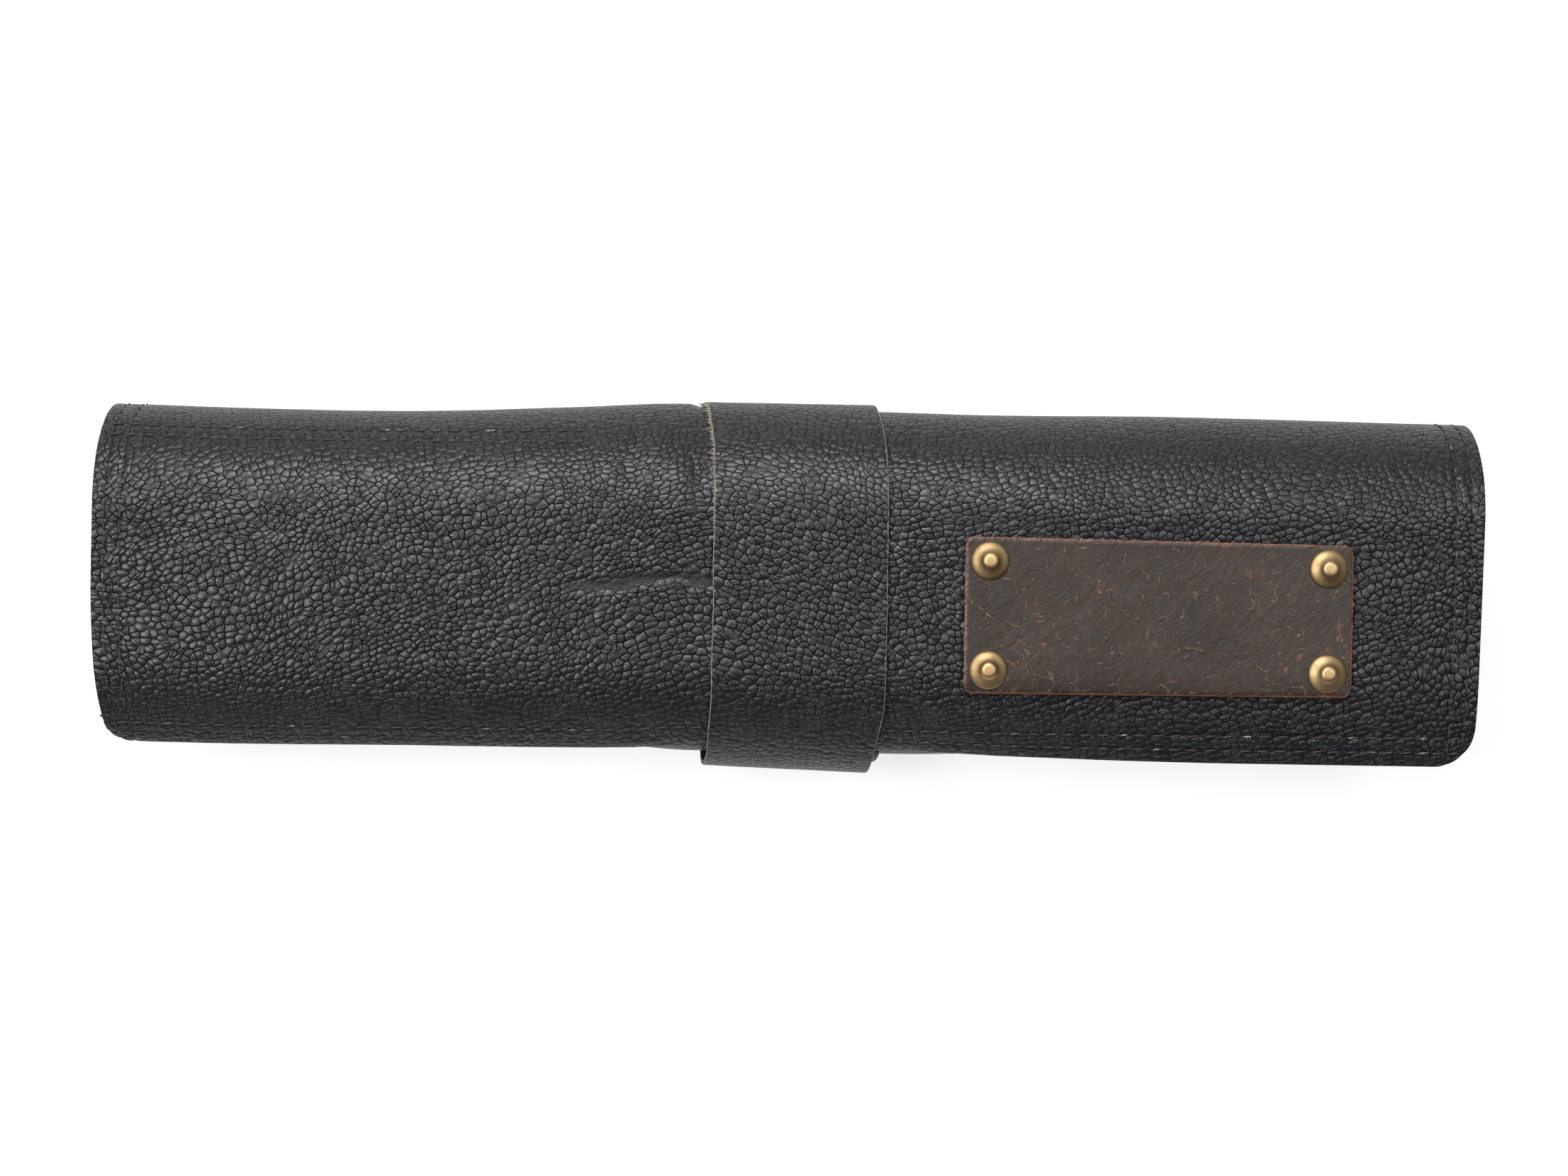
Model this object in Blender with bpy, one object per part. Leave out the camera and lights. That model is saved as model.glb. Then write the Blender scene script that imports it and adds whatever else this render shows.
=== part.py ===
"""A leather chef knife roll, rolled up empty and held shut by a loose leather band.

It lies on its back: X runs along the roll, Y across it and Z up from the surface it lies on.
The origin is on that surface, under the middle of the whole thing.  Lengths are in metres.
"""

import math
from collections import namedtuple

import bmesh
import bpy
from mathutils import Vector

# The rolled sheet
ROLL_LENGTH = 0.480
ROLL_REACH = 0.060  # from the roll's middle line to either long side
ROLL_DEPTH = 0.068  # from the surface it lies on to its front face
SIDE_HEIGHT = 0.031  # height at which the long sides reach furthest out
LEATHER = 0.002
LAYER_GAP = 0.0015  # between one turn of the sheet and the next
INNER_SLACK = 0.0030  # how much looser the second turn lies at the sides
FACE_UP = 0.024  # the flat front face reaches this far above the middle line
FACE_DOWN = 0.028
BACK_UP = 0.031  # the flat back does the same
BACK_DOWN = 0.028
INNER_END_DOWN = 0.018  # the sheet's inner end lies on the back, this far below the middle line
LEFT_CORNER = 0.009  # radii of the flap's two corners
RIGHT_CORNER = 0.014
LEFT_LEAN = 0.0034  # how far the lower corners of the two ends are drawn in
RIGHT_LEAN = 0.0022
LEFT_TUCK = 0.0065  # how far the lower side is drawn in behind the flap's rounded corners
RIGHT_TUCK = 0.0130
END_RUN = 0.026  # both fade out this far from the ends

# The closure band
BAND_WIDTH = 0.0602
BAND_AT = 0.0010  # its middle along the roll, at half the roll's depth
BAND_LEATHER = 0.0018
BAND_FRONT_LEAN = 0.0066  # its front lies this much further along than its back
BAND_SLACK_UP = 0.0006  # between the roll's upper side and the band
BAND_SLACK_DOWN = 0.0012  # between the roll's lower side and the band's tucked end
BAND_SLACK_OUTER = 0.0013  # between the tucked end and the outer layer, which hangs loose
BAND_SAG_SKEW = 0.0018  # the outer layer's right edge hangs this much lower than its left one
BAND_TUCK_SHIFT = 0.0030  # the tucked end stands out to the right by this much
BAND_TOP_SHIFT = 0.0012  # it lies this much further to the left at the upper side
BAND_LOW_TAPER = 0.0019  # its right edge is drawn in this much at the lower side
BAND_TUCK_START = 0.28  # share of the lower front bend at which the tucked end begins
BAND_END = 0.55  # share of the lower back bend at which the outer end stops
CLEARANCE = 0.0003  # between pieces that touch

# The pinch that the band gives the roll
PINCH_CREST_MARGIN = 0.0020  # it goes on this far beside the band at the upper side
PINCH_SHORT = 0.004  # and runs out in this length
PINCH_MARGIN = 0.0045
PINCH_LONG = 0.022  # run-out of the pinch elsewhere

# The riveted patch
PATCH_LENGTH = 0.133
PATCH_HEIGHT_LEFT = 0.054
PATCH_HEIGHT_RIGHT = 0.0522
PATCH_LEATHER = 0.0024
PATCH_CORNER = 0.003
PATCH_AT = 0.2656  # share of ROLL_LENGTH from the roll's middle to the patch's
PATCH_BELOW = 0.0095  # its middle, below the roll's middle line
RIVET_INSET_X = 0.0084  # from the patch's ends to the rivets
RIVET_INSET_Y = 0.0082
RIVET_CAP = 0.0067  # radius
RIVET_NUB = 0.0022
RIVET_NUB_HEIGHT = 0.0043
RIVET_RIM = 0.0006
RIVET_SHANK = 0.0014
RIVET_HOLE_PLAY = 0.0002
RIVET_TAIL = 0.0028
RIVET_TAIL_THICK = 0.0006

# Facets
BEND_FACETS = 6  # in a quarter turn
FACE_FACETS = 2
LENGTH_FACETS = 8  # on each side of the band
CORNER_FACETS = 4
BAND_ACROSS = 3
ROUND_FACETS = 16

PITCH = LEATHER + LAYER_GAP
PATCH_ALONG = ROLL_LENGTH * PATCH_AT

# Sections of the roll, from its left end to its right end.
# along: share of ROLL_LENGTH.  crest, belly, flap: reach of the upper side, of the lower side and
# of the flap's free edge, as shares of ROLL_REACH.  drop: how far the flap's edge bends down from
# the front face, and front: the height of that face, as shares of ROLL_DEPTH.
Section = namedtuple("Section", "along crest belly flap drop front")
SECTIONS = (
    Section(along=0.00, crest=1.005, belly=0.960, flap=0.985, drop=0.240, front=0.990),
    Section(along=0.10, crest=0.992, belly=0.962, flap=0.990, drop=0.250, front=1.000),
    Section(along=0.22, crest=0.992, belly=0.965, flap=0.982, drop=0.255, front=1.000),
    Section(along=0.34, crest=1.033, belly=0.970, flap=0.978, drop=0.255, front=1.000),
    Section(along=0.42, crest=1.066, belly=0.985, flap=0.966, drop=0.245, front=0.996),
    Section(along=0.58, crest=1.036, belly=1.000, flap=0.958, drop=0.225, front=0.992),
    Section(along=0.66, crest=1.029, belly=0.985, flap=0.978, drop=0.190, front=0.994),
    Section(along=0.78, crest=1.039, belly=0.975, flap=0.991, drop=0.130, front=0.997),
    Section(along=0.90, crest=1.030, belly=0.970, flap=0.989, drop=0.100, front=1.000),
    Section(along=1.00, crest=1.020, belly=0.970, flap=0.986, drop=0.090, front=1.000),
)
# The section that the band pinches the roll to
PINCHED = Section(along=0.50, crest=1.037, belly=1.000, flap=0.951, drop=0.240, front=0.985)

# Reaches of the band, and the middle line's offset: the band is the widest piece, so it alone
# puts the origin under the middle of the bounding box
BAND_CREST = ROLL_REACH * PINCHED.crest + BAND_SLACK_UP + BAND_LEATHER
BAND_TUCK = ROLL_REACH * PINCHED.belly + BAND_SLACK_DOWN + BAND_LEATHER
BAND_SAG = BAND_TUCK + BAND_SLACK_OUTER + BAND_LEATHER
MIDDLE_Y = (BAND_SAG + BAND_SAG_SKEW / 2 - BAND_CREST) / 2

# A stop along the roll: how far along, and how far the flap's rounded corner is set back there
Column = namedtuple("Column", "x trim")
# A stop around the roll: which leg of the spiral, which turn of it, and how far along that leg
Station = namedtuple("Station", "leg turn share")


def smooth(share):
    """Eases a share from 0 to 1, level at both ends."""
    share = min(1.0, max(0.0, share))
    return share * share * (3 - 2 * share)


def mix(start, end, share):
    return start + (end - start) * share


def table_value(along, name):
    """Reads one column of SECTIONS, on a smooth curve through its rows."""
    places = [row.along for row in SECTIONS]
    values = [getattr(row, name) for row in SECTIONS]
    last = len(SECTIONS) - 1
    k = min(last - 1, max(0, sum(place <= along for place in places) - 1))

    def slope(i):
        before, after = max(0, i - 1), min(last, i + 1)
        return (values[after] - values[before]) / (places[after] - places[before])

    run = places[k + 1] - places[k]
    t = (along - places[k]) / run
    return (
        (2 * t**3 - 3 * t**2 + 1) * values[k]
        + (t**3 - 2 * t**2 + t) * run * slope(k)
        + (3 * t**2 - 2 * t**3) * values[k + 1]
        + (t**3 - t**2) * run * slope(k + 1)
    )


def near_end(x):
    """1 at either end of the roll, fading to 0 at END_RUN from it."""
    return 1 - smooth((ROLL_LENGTH / 2 - abs(x)) / END_RUN)


def end_lean(x, y):
    """How far the ends of the roll are drawn in at x, at y below or above the middle line."""
    low = -y / ROLL_REACH
    if x < 0:
        lean = LEFT_LEAN * (max(0.0, low - 0.07) / 0.83) ** 1.5
    else:
        lean = RIGHT_LEAN * max(0.0, low + 0.67) / 1.58
    return math.copysign(lean * near_end(x), x)


def pinch(x, margin, run):
    """How much of the band's pinch the roll feels at x, from 0 to 1."""
    outside = abs(x - BAND_AT) - BAND_WIDTH / 2 - margin
    return 1 - smooth(outside / run)


def section(x):
    """The roll's section at x, as lengths from the middle line and from the surface below."""
    along = x / ROLL_LENGTH + 0.5
    near = pinch(x, PINCH_CREST_MARGIN, PINCH_SHORT)
    far = pinch(x, PINCH_MARGIN, PINCH_LONG)
    tuck = near_end(x) * (LEFT_TUCK if x < 0 else RIGHT_TUCK)

    def value(name, share):
        return mix(table_value(along, name), getattr(PINCHED, name), share)

    return {
        "crest": ROLL_REACH * value("crest", near),
        "belly": ROLL_REACH * value("belly", far) - tuck,
        "flap": ROLL_REACH * value("flap", far),
        "drop": ROLL_DEPTH * value("drop", far),
        "front": ROLL_DEPTH * value("front", far),
        "back": (BAND_LEATHER + CLEARANCE) * far,
    }


def flap_arc(cut):
    """(radius, angle) of the arc from the front face's lower end to the flap's free edge."""
    run = cut["flap"] - FACE_DOWN
    angle = 2 * math.atan(cut["drop"] / run)
    return run / math.sin(angle), angle


def quarter(centre, reach_y, reach_z, angle):
    """A point on a quarter of an ellipse: angle 0 is at its side, 90 degrees at its face."""
    return centre[0] + reach_y * math.cos(angle), centre[1] + reach_z * math.sin(angle)


def spiral(cut, station, trim=0.0):
    """(y, z) of the sheet's outer face at a station, from the middle line and the surface below."""
    inward = PITCH * station.turn
    slack = INNER_SLACK * station.turn
    front, back = cut["front"] - inward, cut["back"] + inward
    crest, belly = cut["crest"] - inward - slack, cut["belly"]
    turning = station.share * math.pi / 2
    if station.leg == "flap":
        radius, angle = flap_arc(cut)
        start = angle - trim / radius
        at = start * (1 - station.share)
        return -FACE_DOWN - radius * math.sin(at), front - radius * (1 - math.cos(at))
    if station.leg == "front":
        return mix(-FACE_DOWN, FACE_UP, station.share), front
    if station.leg == "upper front bend":
        centre = (FACE_UP, SIDE_HEIGHT)
        return quarter(centre, crest - FACE_UP, front - SIDE_HEIGHT, math.pi / 2 - turning)
    if station.leg == "upper back bend":
        centre = (BACK_UP, SIDE_HEIGHT)
        return quarter(centre, crest - BACK_UP, back - SIDE_HEIGHT, turning)
    if station.leg == "back":
        low = mix(BACK_DOWN, INNER_END_DOWN, station.turn)
        return mix(BACK_UP, -low, station.share), back
    if station.leg == "lower back bend":
        centre = (-BACK_DOWN, SIDE_HEIGHT)
        return quarter(centre, BACK_DOWN - belly, back - SIDE_HEIGHT, math.pi / 2 - turning)
    centre = (-FACE_DOWN, SIDE_HEIGHT)
    return quarter(centre, FACE_DOWN - belly, front - SIDE_HEIGHT, turning)


def stations(legs):
    """Stops along the legs in turn, each (leg, turn, first share, last share, facets)."""
    stops = []
    for leg, turn, first, last, facets in legs:
        begin = 0 if not stops else 1
        for k in range(begin, facets + 1):
            stops.append(Station(leg, turn, mix(first, last, k / facets)))
    return stops


def columns():
    """Stops along the roll: round the flap's corners, and at the ends of the pinch."""
    half = ROLL_LENGTH / 2
    pinch_half = BAND_WIDTH / 2 + PINCH_MARGIN
    crest_half = BAND_WIDTH / 2 + PINCH_CREST_MARGIN

    def corner(radius):
        turns = [math.pi / 2 * k / CORNER_FACETS for k in range(CORNER_FACETS)]
        return [(radius * (1 - math.cos(a)), radius * (1 - math.sin(a))) for a in turns]

    def run(start, end, facets):
        return [Column(mix(start, end, k / facets), 0.0) for k in range(facets)]

    left = [Column(-half + inset, trim) for inset, trim in corner(LEFT_CORNER)]
    right = [Column(half - inset, trim) for inset, trim in reversed(corner(RIGHT_CORNER))]
    marks = [
        (-half + LEFT_CORNER, 2),
        (-half + END_RUN, LENGTH_FACETS - 1),
        (BAND_AT - pinch_half - PINCH_LONG, 3),
        (BAND_AT - crest_half - PINCH_SHORT, 2),
        (BAND_AT - crest_half, 2),
        (BAND_AT + crest_half, 2),
        (BAND_AT + crest_half + PINCH_SHORT, 3),
        (BAND_AT + pinch_half + PINCH_LONG, LENGTH_FACETS - 1),
        (half - END_RUN, 2),
        (half - RIGHT_CORNER, 1),
    ]
    middle = []
    for (start, facets), (end, _) in zip(marks, marks[1:]):
        middle += run(start, end, facets)
    return left + middle + [Column(half - RIGHT_CORNER, 0.0)] + right


def material(name, colour, roughness, metallic=0.0):
    made = bpy.data.materials.new(name)
    made.use_nodes = True
    shader = made.node_tree.nodes["Principled BSDF"]
    shader.inputs["Base Color"].default_value = (*colour, 1.0)
    shader.inputs["Roughness"].default_value = roughness
    shader.inputs["Metallic"].default_value = metallic
    return made


def add_object(name, bm, finish):
    """Makes the bmesh into a named object with smooth bends and one material."""
    mesh = bpy.data.meshes.new(name)
    bm.to_mesh(mesh)
    bm.free()
    mesh.shade_smooth()
    mesh.set_sharp_from_angle(angle=math.radians(35))
    mesh.materials.append(finish)
    made = bpy.data.objects.new(name, mesh)
    bpy.context.scene.collection.objects.link(made)
    return made


def sheet(name, across, around, place, thickness, finish):
    """A grid of across by around stops, laid by place on its outer face and given a wall inside."""
    bm = bmesh.new()
    last_across, last_around = len(across) - 1, len(around) - 1
    bmesh.ops.create_grid(bm, x_segments=last_across, y_segments=last_around, size=0.5)
    for vert in bm.verts:
        i = round((vert.co.x + 0.5) * last_across)
        j = round((vert.co.y + 0.5) * last_around)
        vert.co = place(across[i], around[j])
    bm.normal_update()
    made = add_object(name, bm, finish)
    wall = made.modifiers.new("wall", "SOLIDIFY")
    wall.thickness = thickness
    wall.offset = -1
    wall.use_even_offset = True
    return made


def leather_roll(finish):
    """The sheet of the roll, from the flap's free edge inwards for nearly two turns."""
    legs = [
        ("flap", 0, 0, 1, BEND_FACETS),
        ("front", 0, 0, 1, FACE_FACETS),
        ("upper front bend", 0, 0, 1, BEND_FACETS),
        ("upper back bend", 0, 0, 1, BEND_FACETS),
        ("back", 0, 0, 1, FACE_FACETS),
        ("lower back bend", 0, 0, 1, BEND_FACETS),
        ("lower front bend", 1, 0, 1, BEND_FACETS),
        ("front", 1, 0, 1, FACE_FACETS),
        ("upper front bend", 1, 0, 1, BEND_FACETS),
        ("upper back bend", 1, 0, 1, BEND_FACETS),
        ("back", 1, 0, 1, FACE_FACETS),
    ]

    def place(column, station):
        y, z = spiral(section(column.x), station, column.trim)
        return Vector((column.x - end_lean(column.x, y), MIDDLE_Y + y, z))

    return sheet("leather_roll", columns(), stations(legs), place, LEATHER, finish)


def band_cut(across):
    """The band's own section, at a share of its width from -0.5 at the left edge to 0.5."""
    pinched = section(BAND_AT)
    return {
        "crest": BAND_CREST,
        "sag": BAND_SAG + BAND_SAG_SKEW * across,
        "tuck": BAND_TUCK,
        "front": pinched["front"] + CLEARANCE + BAND_LEATHER,
        "back": 0.0,
    }


def band_point(cut, station):
    """(y, z) of the band's outer face: turn 0 is the tucked layer and turn 1 the outer one."""
    front, back = cut["front"], cut["back"]
    turning = station.share * math.pi / 2
    low = mix(cut["tuck"], cut["sag"], station.turn)
    under = (BAND_LEATHER + 2 * CLEARANCE) * station.turn
    if station.leg == "lower front bend":
        rise = front - SIDE_HEIGHT - (1 - station.turn) * (BAND_LEATHER + PITCH)
        return quarter((-FACE_DOWN, SIDE_HEIGHT), FACE_DOWN - low, rise, math.pi / 2 - turning)
    if station.leg == "lower back bend":
        fall = back - under - SIDE_HEIGHT
        return quarter((-BACK_DOWN, SIDE_HEIGHT), BACK_DOWN - low, fall, turning)
    if station.leg == "back":
        return mix(-BACK_DOWN, BACK_UP, station.share), back
    if station.leg == "upper back bend":
        centre = (BACK_UP, SIDE_HEIGHT)
        return quarter(centre, cut["crest"] - BACK_UP, back - SIDE_HEIGHT, math.pi / 2 - turning)
    if station.leg == "upper front bend":
        centre = (FACE_UP, SIDE_HEIGHT)
        return quarter(centre, cut["crest"] - FACE_UP, front - SIDE_HEIGHT, turning)
    return mix(FACE_UP, -FACE_DOWN, station.share), front


def band_lean(across, y, z):
    """How far the band lies to the right of its middle plane, at a share of its width."""
    upper = smooth((y / ROLL_REACH - 0.75) / 0.33)
    lower = smooth((-y / ROLL_REACH - 0.67) / 0.33)
    lean = BAND_FRONT_LEAN * (z / ROLL_DEPTH - 0.5)
    return lean - BAND_TOP_SHIFT * upper - BAND_LOW_TAPER * (across + 0.5) * lower


def closure_band(finish):
    """A strip that starts tucked inside at the lower front, goes round the back and over the
    front, and ends over its own start."""
    legs = [
        ("lower front bend", 0, 1 - BAND_TUCK_START, 1, 2),
        ("lower back bend", 0, 0, 1, BEND_FACETS),
        ("back", 0, 0, 1, FACE_FACETS),
        ("upper back bend", 0, 0, 1, BEND_FACETS),
        ("upper front bend", 0, 0, 1, BEND_FACETS),
        ("front", 1, 0, 1, FACE_FACETS),
        ("lower front bend", 1, 0, 1, BEND_FACETS * 3 // 2),
        ("lower back bend", 1, 0, BAND_END, BEND_FACETS // 2),
    ]
    stops = stations(legs)
    tucked = sum(stop.leg.startswith("lower") and stop.turn == 0 for stop in stops)

    def place(across, numbered):
        number, station = numbered
        y, z = band_point(band_cut(across), station)
        shift = BAND_TUCK_SHIFT * (1 - smooth(number / tucked))
        x = BAND_AT + band_lean(across, y, z) + shift + BAND_WIDTH * across
        return Vector((x, MIDDLE_Y + y, z))

    across = [mix(0.5, -0.5, k / BAND_ACROSS) for k in range(BAND_ACROSS + 1)]
    return sheet("closure_band", across, list(enumerate(stops)), place, BAND_LEATHER, finish)


def face_height(x, y):
    """Height of the roll's outer face at x, y on its front."""
    cut = section(x)
    below = -FACE_DOWN - (y - MIDDLE_Y)
    if below <= 0:
        return cut["front"]
    radius, _ = flap_arc(cut)
    return cut["front"] - radius + math.sqrt(radius**2 - below**2)


def patch_height(x):
    """The patch's height at x: it is cut a little narrower at its right end."""
    share = (x - PATCH_ALONG) / PATCH_LENGTH + 0.5
    return mix(PATCH_HEIGHT_LEFT, PATCH_HEIGHT_RIGHT, share)


def patch_base(x, y):
    """Height of the patch's underside, seated on the front face."""
    return face_height(x, y) + CLEARANCE


def rivet_places():
    """(name, x, y) of the four rivets, worked out from the patch."""
    places = []
    for side, end in (("left", -1), ("right", 1)):
        x = PATCH_ALONG + end * (PATCH_LENGTH / 2 - RIVET_INSET_X)
        for level, up in (("upper", 1), ("lower", -1)):
            y = MIDDLE_Y - PATCH_BELOW + up * (patch_height(x) / 2 - RIVET_INSET_Y)
            places.append((f"rivet_{level}_{side}", x, y))
    return places


def rivet_seat(x, y):
    """Height of the flat underside of a rivet's cap, just clear of the patch all round."""
    around = (-RIVET_CAP, 0.0, RIVET_CAP)
    top = max(patch_base(x + dx, y + dy) for dx in around for dy in around)
    return top + PATCH_LEATHER + CLEARANCE


def drill(body, x, y, low, high):
    """Cuts an upright hole for a rivet's shank from low to high."""
    bm = bmesh.new()
    radius = RIVET_SHANK + RIVET_HOLE_PLAY
    bmesh.ops.create_cone(
        bm,
        cap_ends=True,
        segments=ROUND_FACETS // 2,
        radius1=radius,
        radius2=radius,
        depth=high - low,
    )
    bmesh.ops.translate(bm, vec=(x, y, (low + high) / 2), verts=bm.verts)
    cutter = add_object(f"{body.name}_drill_{len(body.modifiers)}", bm, body.data.materials[0])
    cutter.hide_render = True
    cutter.display_type = "WIRE"
    hole = body.modifiers.new("rivet hole", "BOOLEAN")
    hole.operation = "DIFFERENCE"
    hole.object = cutter


def patch(finish):
    """A plain leather patch with rounded corners, laid on the front face."""
    edge = PATCH_LENGTH / 2
    turns = [math.pi / 2 * k / CORNER_FACETS for k in range(CORNER_FACETS)]
    corner = [(PATCH_CORNER * (1 - math.cos(a)), PATCH_CORNER * (1 - math.sin(a))) for a in turns]
    left = [(-edge + inset, trim) for inset, trim in corner]
    right = [(edge - inset, trim) for inset, trim in reversed(corner)]
    flat = edge - PATCH_CORNER
    middle = [(mix(-flat, flat, k / LENGTH_FACETS), 0.0) for k in range(LENGTH_FACETS + 1)]
    levels = [mix(-0.5, 0.5, k / BEND_FACETS) for k in range(BEND_FACETS + 1)]

    def place(column, level):
        x = PATCH_ALONG + column[0]
        y = MIDDLE_Y - PATCH_BELOW + level * (patch_height(x) - 2 * column[1])
        return Vector((x, y, patch_base(x, y) + PATCH_LEATHER))

    return sheet("patch", left + middle + right, levels, place, PATCH_LEATHER, finish)


def rivet(name, x, y, finish):
    """A domed cap with a nub, on a shank that holds patch and roll to its flat tail."""
    seat = rivet_seat(x, y)
    inner_face = face_height(x, y) - LEATHER
    tail_top = inner_face - (LAYER_GAP - RIVET_TAIL_THICK) / 2 - seat
    rise = RIVET_NUB_HEIGHT - RIVET_RIM
    flank = [  # shares of the cap's radius and of its rise, from the rim to the nub's foot
        (1.00, 0.00),
        (0.93, 0.13),
        (0.74, 0.33),
        (0.56, 0.50),
        (0.43, 0.66),
    ]
    outline = [(0.0, tail_top - RIVET_TAIL_THICK), (RIVET_TAIL, tail_top - RIVET_TAIL_THICK)]
    outline += [(RIVET_TAIL, tail_top), (RIVET_SHANK, tail_top), (RIVET_SHANK, 0.0)]
    outline += [(RIVET_CAP, 0.0)]
    outline += [(RIVET_CAP * out, RIVET_RIM + rise * up) for out, up in flank]
    outline += [(RIVET_NUB, RIVET_RIM + rise * 0.88), (RIVET_NUB * 0.75, RIVET_NUB_HEIGHT)]
    outline += [(0.0, RIVET_NUB_HEIGHT)]
    bm = bmesh.new()
    verts = [bm.verts.new((radius, 0.0, height)) for radius, height in outline]
    edges = [bm.edges.new(pair) for pair in zip(verts, verts[1:])]
    bmesh.ops.spin(
        bm,
        geom=verts + edges,
        axis=(0, 0, 1),
        cent=(0, 0, 0),
        angle=math.tau,
        steps=ROUND_FACETS,
        use_merge=True,
    )
    bmesh.ops.remove_doubles(bm, verts=bm.verts, dist=1e-6)
    bmesh.ops.recalc_face_normals(bm, faces=bm.faces)
    made = add_object(name, bm, finish)
    made.location = (x, y, seat)
    return made


def main():
    for old in list(bpy.data.objects):
        bpy.data.objects.remove(old)
    black = material("black pebbled leather", (0.030, 0.030, 0.032), 0.52)
    brown = material("brown waxed leather", (0.070, 0.045, 0.036), 0.58)
    brass = material("aged brass", (0.46, 0.34, 0.18), 0.36, metallic=1.0)

    roll = leather_roll(black)
    closure_band(black)
    label = patch(brown)
    for name, x, y in rivet_places():
        face = face_height(x, y)
        drill(roll, x, y, face - LEATHER - LAYER_GAP / 2, face + LEATHER)
        drill(label, x, y, face - LEATHER, face + 2 * PATCH_LEATHER)
        rivet(name, x, y, brass)


main()
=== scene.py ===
"""Looks of the leather chef knife roll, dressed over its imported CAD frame.

The roll lies on its back on a pale floor.  X runs along it, Y across it and Z up.  Lengths are in
metres.  The sheet of the roll, the band, the patch and the rivets follow the same sections as
the CAD model does, with the dents, creases and cut edges of real leather added.
"""

import math
from collections import namedtuple

import bmesh
import bpy
from mathutils import Matrix, Vector, noise


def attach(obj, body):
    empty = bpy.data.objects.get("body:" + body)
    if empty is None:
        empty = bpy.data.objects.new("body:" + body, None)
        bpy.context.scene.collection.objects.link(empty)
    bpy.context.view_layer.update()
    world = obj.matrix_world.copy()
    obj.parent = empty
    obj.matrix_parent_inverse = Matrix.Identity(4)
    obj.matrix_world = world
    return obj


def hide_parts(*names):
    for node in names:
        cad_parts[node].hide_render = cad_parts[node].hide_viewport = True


# The rolled sheet, as in the CAD model
ROLL_LENGTH = 0.480
ROLL_REACH = 0.060
ROLL_DEPTH = 0.068
SIDE_HEIGHT = 0.031
LEATHER = 0.002
LAYER_GAP = 0.0015
INNER_SLACK = 0.0030
FACE_UP = 0.024
FACE_DOWN = 0.028
BACK_UP = 0.031
BACK_DOWN = 0.028
INNER_END_DOWN = 0.018
LEFT_CORNER = 0.009
RIGHT_CORNER = 0.014
LEFT_LEAN = 0.0034
RIGHT_LEAN = 0.0022
LEFT_TUCK = 0.0065
RIGHT_TUCK = 0.0130
END_RUN = 0.026
PITCH = LEATHER + LAYER_GAP

# The closure band
BAND_WIDTH = 0.0602
BAND_AT = 0.0010
BAND_LEATHER = 0.0018
BAND_FRONT_LEAN = 0.0066
BAND_SLACK_UP = 0.0006
BAND_SLACK_DOWN = 0.0012
BAND_SLACK_OUTER = 0.0013
BAND_SAG_SKEW = 0.0018
BAND_TUCK_SHIFT = 0.0030
BAND_TOP_SHIFT = 0.0012
BAND_LOW_TAPER = 0.0019
BAND_TUCK_START = 0.28
BAND_END = 0.55
CLEARANCE = 0.0003
PINCH_MARGIN = 0.0045
PINCH_LONG = 0.022
PINCH_CREST_MARGIN = 0.0020
PINCH_SHORT = 0.004

# The patch and its rivets; the bite is how deep a cap is pressed into the patch
PATCH_LENGTH = 0.133
PATCH_HEIGHT_LEFT = 0.054
PATCH_HEIGHT_RIGHT = 0.0522
PATCH_LEATHER = 0.0024
PATCH_CORNER = 0.003
PATCH_ALONG = ROLL_LENGTH * 0.2656
PATCH_BELOW = 0.0095
RIVET_INSET_X = 0.0084
RIVET_INSET_Y = 0.0082
RIVET_CAP = 0.0067
RIVET_NUB_HEIGHT = 0.0043
RIVET_SHANK = 0.0014
RIVET_TAIL = 0.0028
RIVET_TAIL_THICK = 0.0006
RIVET_BITE = 0.0003

# Stitching: distances from the edges to the rows, the thread, and the groove it presses
END_ROWS = (0.0041, 0.0096)
FLAP_ROWS = (0.0050, 0.0104)
SEAM_ROWS = (0.1150, 0.1205)  # rows of the upper seam, from the flap's edge along the sheet
SEAM_END = -0.0705  # where that seam stops along the roll
STITCH_PITCH = 0.0061
STITCH_LENGTH = 0.0048
THREAD = 0.00055
GROOVE_WIDTH = 0.0009
GROOVE_DEPTH = 0.0003

Section = namedtuple("Section", "along crest belly flap drop front")
SECTIONS = (
    Section(along=0.00, crest=1.005, belly=0.960, flap=0.985, drop=0.240, front=0.990),
    Section(along=0.10, crest=0.992, belly=0.962, flap=0.990, drop=0.250, front=1.000),
    Section(along=0.22, crest=0.992, belly=0.965, flap=0.982, drop=0.255, front=1.000),
    Section(along=0.34, crest=1.033, belly=0.970, flap=0.978, drop=0.255, front=1.000),
    Section(along=0.42, crest=1.066, belly=0.985, flap=0.966, drop=0.245, front=0.996),
    Section(along=0.58, crest=1.036, belly=1.000, flap=0.958, drop=0.225, front=0.992),
    Section(along=0.66, crest=1.029, belly=0.985, flap=0.978, drop=0.190, front=0.994),
    Section(along=0.78, crest=1.039, belly=0.975, flap=0.991, drop=0.130, front=0.997),
    Section(along=0.90, crest=1.030, belly=0.970, flap=0.989, drop=0.100, front=1.000),
    Section(along=1.00, crest=1.020, belly=0.970, flap=0.986, drop=0.090, front=1.000),
)
PINCHED = Section(along=0.50, crest=1.037, belly=1.000, flap=0.951, drop=0.240, front=0.985)
BAND_CREST = ROLL_REACH * PINCHED.crest + BAND_SLACK_UP + BAND_LEATHER
BAND_TUCK = ROLL_REACH * PINCHED.belly + BAND_SLACK_DOWN + BAND_LEATHER
BAND_SAG = BAND_TUCK + BAND_SLACK_OUTER + BAND_LEATHER
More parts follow.
